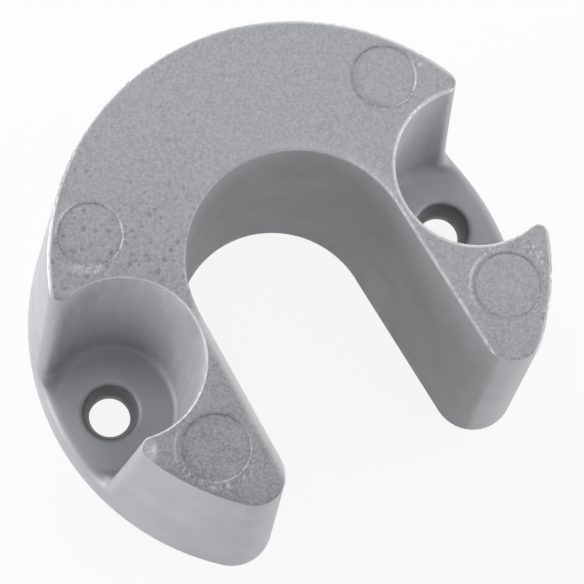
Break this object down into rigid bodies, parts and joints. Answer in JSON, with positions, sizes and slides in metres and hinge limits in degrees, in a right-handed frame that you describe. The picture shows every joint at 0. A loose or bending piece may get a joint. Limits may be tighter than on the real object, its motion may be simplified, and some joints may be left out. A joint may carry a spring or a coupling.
{
  "type": "sacrificial anode",
  "caption": "Horseshoe-shaped die-cast anode that slips over a shaft from the side and bolts on through flanges in open pockets.",
  "frame": {"origin": "on the bolted face, midway between the bolt holes, on the axis of the round outer wall", "axes": "+Z from the bolted face to the free end, +X through the bolt holes, and the slot's mouth looks along -Y"},
  "size_m": [0.0838, 0.0745, 0.045],
  "materials": {
    "cast_metal": "as cast, dull light grey with fine pitting on the free end"
  },
  "bodies": {
    "root": {"anode_casting": "cast_metal"}
  },
  "joints": []
}
